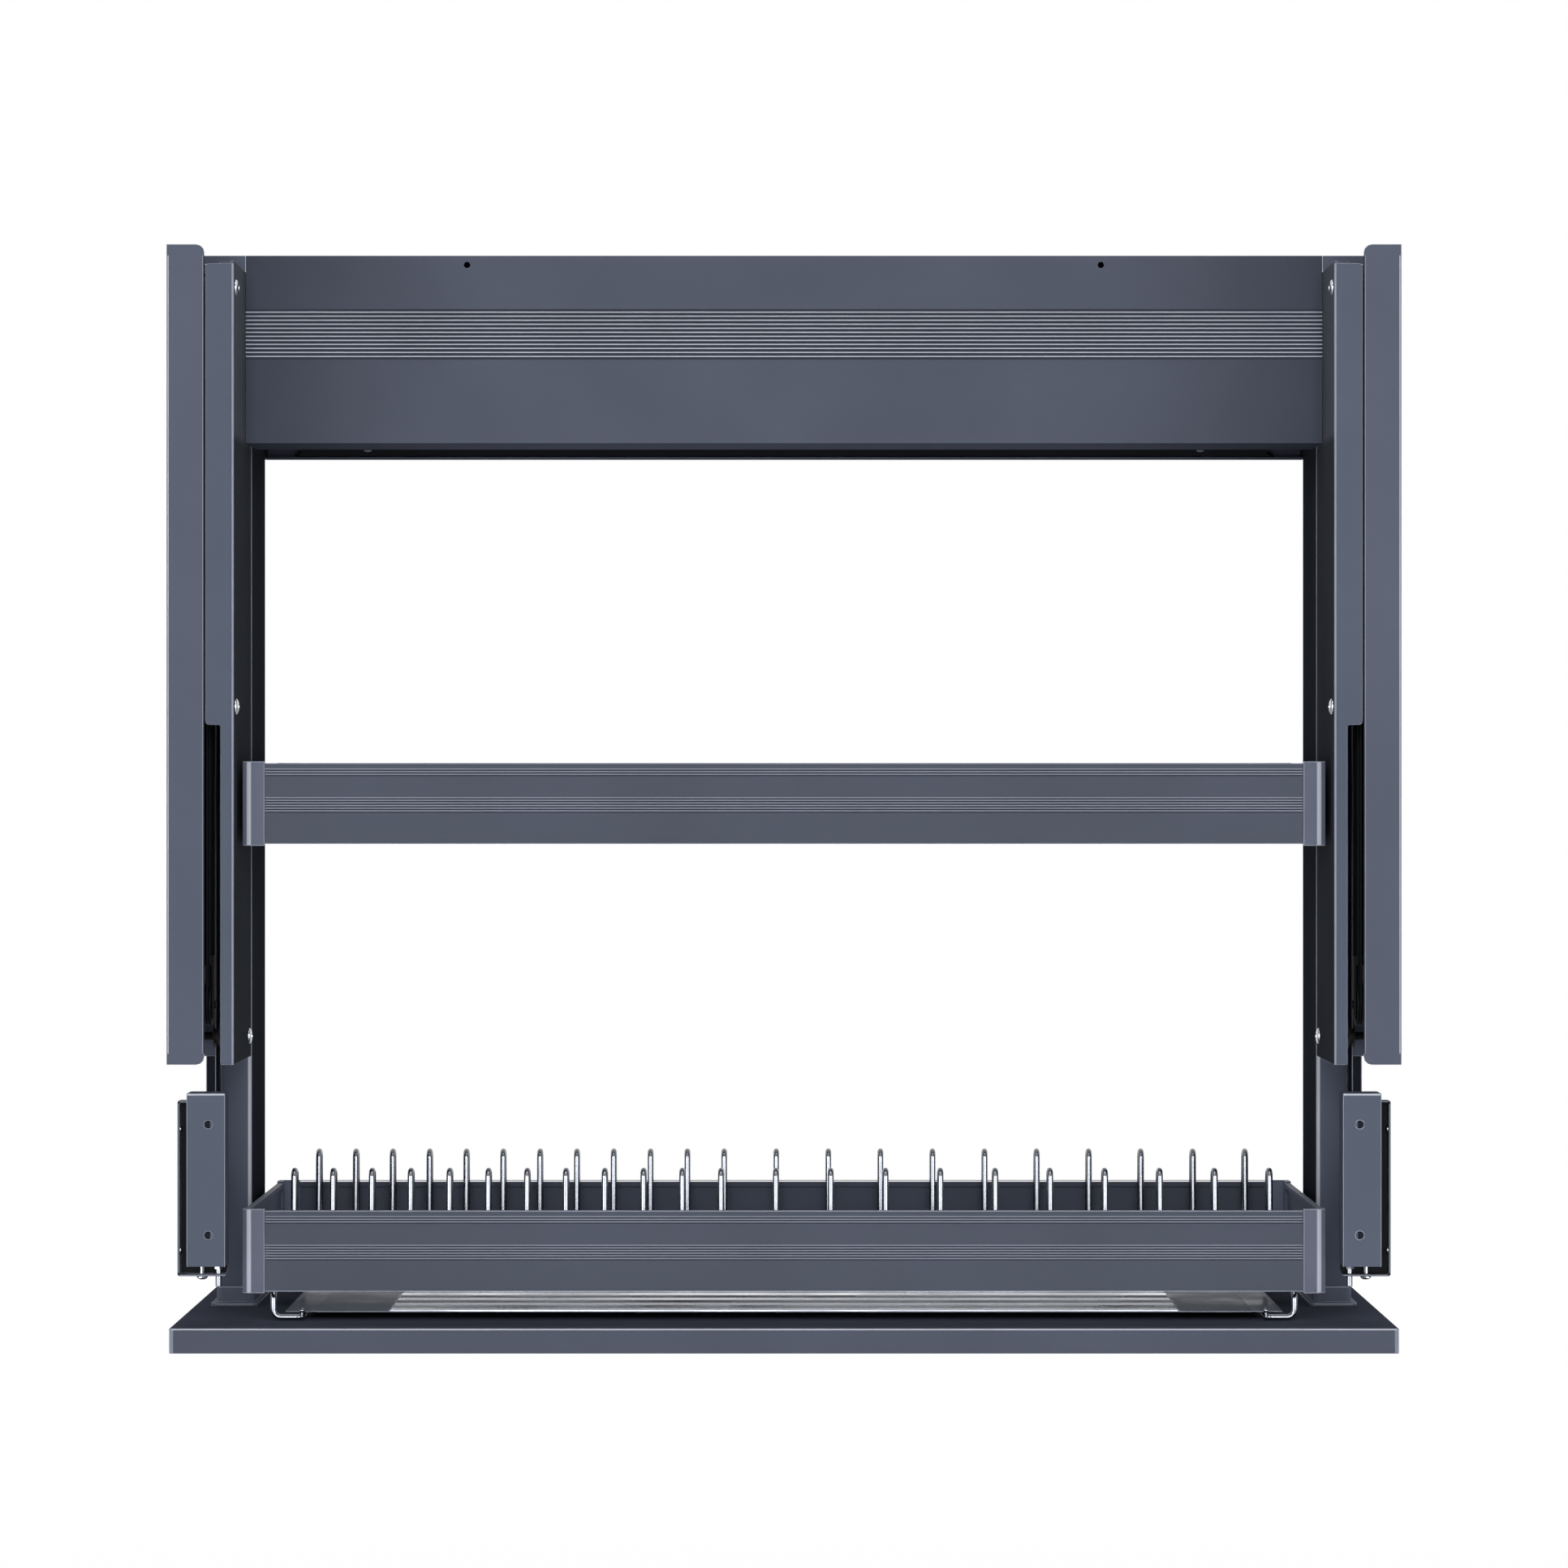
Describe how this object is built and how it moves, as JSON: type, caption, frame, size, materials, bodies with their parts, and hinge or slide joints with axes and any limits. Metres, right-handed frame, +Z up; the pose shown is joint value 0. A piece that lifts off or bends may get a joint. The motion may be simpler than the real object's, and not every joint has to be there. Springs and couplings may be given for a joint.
{
  "type": "pull-down dish rack",
  "caption": "Pull-down dish rack for a wall cabinet: a shelf and a plate basket on posts that slide down from two gas-sprung housings.",
  "frame": {"origin": "underside of the bottom panel, at the middle of the width and of the depth, rack raised", "axes": "+X to the rack's right, +Y to the cabinet's back, +Z up"},
  "size_m": [0.767, 0.285, 0.689],
  "materials": {
    "steel_slate": "slate powder coat on folded steel",
    "steel_dark": "dark coat on folded steel",
    "alu_slate": "slate anodised extrusion",
    "panel_slate": "slate lacquer on a board",
    "stainless": "polished stainless wire and sheet",
    "zinc": "bright zinc",
    "nylon_black": "moulded nylon",
    "rubber_black": "moulded buffer",
    "corner_slate": "moulded corner, slate"
  },
  "bodies": {
    "casing": {"housing_left": "steel_slate", "inner_cover_left": "steel_slate", "upper_bolt_left": "zinc", "middle_bolt_left": "zinc", "lower_bolt_left": "zinc", "gas_cylinder_left": "steel_dark", "lower_buffer_left": "rubber_black", "lift_cable_left": "stainless", "guide_rail_left": "steel_dark", "top_tie_left": "steel_slate", "bracket_channel_left": "steel_dark", "housing_right": "steel_slate", "inner_cover_right": "steel_slate", "upper_bolt_right": "zinc", "middle_bolt_right": "zinc", "lower_bolt_right": "zinc", "gas_cylinder_right": "steel_dark", "lower_buffer_right": "rubber_black", "lift_cable_right": "stainless", "guide_rail_right": "steel_dark", "top_tie_right": "steel_slate", "bracket_channel_right": "steel_dark", "top_fascia": "alu_slate", "top_shell": "alu_slate", "top_pan": "steel_dark"},
    "gas_rod_left": {"gas_rod_left": "steel_dark"},
    "moving_pulley_left": {"moving_pulley_left": "nylon_black"},
    "top_pulley_left": {"top_pulley_left": "nylon_black"},
    "bracket_box_left": {"bracket_box_left": "steel_slate"},
    "bracket_screw_left": {"bracket_screw_left": "zinc"},
    "gas_rod_right": {"gas_rod_right": "steel_dark"},
    "moving_pulley_right": {"moving_pulley_right": "nylon_black"},
    "top_pulley_right": {"top_pulley_right": "nylon_black"},
    "bracket_box_right": {"bracket_box_right": "steel_slate"},
    "bracket_screw_right": {"bracket_screw_right": "zinc"},
    "drip_tray": {"drip_tray": "stainless"},
    "lift_frame": {"carriage_left": "nylon_black", "post_left": "alu_slate", "post_foot_left": "alu_slate", "tray_runner_left": "stainless", "shelf_front_corner_left": "corner_slate", "basket_front_corner_left": "corner_slate", "shelf_side_rail_left": "alu_slate", "basket_side_rail_left": "alu_slate", "carriage_right": "nylon_black", "post_right": "alu_slate", "post_foot_right": "alu_slate", "tray_runner_right": "stainless", "shelf_front_corner_right": "corner_slate", "basket_front_corner_right": "corner_slate", "shelf_side_rail_right": "alu_slate", "basket_side_rail_right": "alu_slate", "bottom_panel": "panel_slate", "shelf_front_rail": "alu_slate", "shelf_back_rail": "alu_slate", "basket_front_rail": "alu_slate", "basket_back_rail": "alu_slate", "shelf_grid": "stainless", "front_plate_row": "stainless", "back_plate_row": "stainless"}
  },
  "joints": [
    {"name": "lift_slide", "type": "slide", "parent": "casing", "child": "lift_frame", "axis": [0, 0, -1], "range_m": [0, 0.37]},
    {"name": "gas_rod_slide_left", "type": "slide", "parent": "casing", "child": "gas_rod_left", "axis": [0, 0, 1], "range_m": [0, 0.19]},
    {"name": "moving_pulley_spin_left", "type": "hinge", "parent": "gas_rod_left", "child": "moving_pulley_left", "pos_m": [-0.3617, -0.0975, 0.215], "axis": [1, 0, 0], "range_deg": [0, 880]},
    {"name": "top_pulley_spin_left", "type": "hinge", "parent": "casing", "child": "top_pulley_left", "pos_m": [-0.3617, -0.065, 0.636], "axis": [-1, 0, 0], "range_deg": [0, 1100]},
    {"name": "gas_rod_slide_right", "type": "slide", "parent": "casing", "child": "gas_rod_right", "axis": [0, 0, 1], "range_m": [0, 0.19]},
    {"name": "moving_pulley_spin_right", "type": "hinge", "parent": "gas_rod_right", "child": "moving_pulley_right", "pos_m": [0.3617, -0.0975, 0.215], "axis": [1, 0, 0], "range_deg": [0, 880]},
    {"name": "top_pulley_spin_right", "type": "hinge", "parent": "casing", "child": "top_pulley_right", "pos_m": [0.3617, -0.065, 0.636], "axis": [-1, 0, 0], "range_deg": [0, 1100]},
    {"name": "bracket_height_left", "type": "slide", "parent": "casing", "child": "bracket_box_left", "axis": [0, 0, 1], "range_m": [-0.0025, 0.0025]},
    {"name": "bracket_screw_spin_left", "type": "hinge", "parent": "casing", "child": "bracket_screw_left", "pos_m": [-0.3634, -0.1235, 0.0466], "axis": [0, 0, 1], "range_deg": [-1320, 1320]},
    {"name": "bracket_height_right", "type": "slide", "parent": "casing", "child": "bracket_box_right", "axis": [0, 0, 1], "range_m": [-0.0025, 0.0025]},
    {"name": "bracket_screw_spin_right", "type": "hinge", "parent": "casing", "child": "bracket_screw_right", "pos_m": [0.3634, -0.1235, 0.0466], "axis": [0, 0, 1], "range_deg": [-1320, 1320]},
    {"name": "tray_lift", "type": "slide", "parent": "lift_frame", "child": "drip_tray", "axis": [0, 0, 1], "range_m": [0, 0.012]}
  ],
  "couplings": [
    {"joint": "gas_rod_slide_left", "follows": "lift_slide", "ratio": 0.5},
    {"joint": "moving_pulley_spin_left", "follows": "lift_slide", "rad_per_m": 40},
    {"joint": "top_pulley_spin_left", "follows": "lift_slide", "rad_per_m": 50},
    {"joint": "gas_rod_slide_right", "follows": "lift_slide", "ratio": 0.5},
    {"joint": "moving_pulley_spin_right", "follows": "lift_slide", "rad_per_m": 40},
    {"joint": "top_pulley_spin_right", "follows": "lift_slide", "rad_per_m": 50},
    {"joint": "bracket_screw_spin_left", "follows": "bracket_height_left", "rad_per_m": 8976},
    {"joint": "bracket_screw_spin_right", "follows": "bracket_height_right", "rad_per_m": 8976}
  ]
}
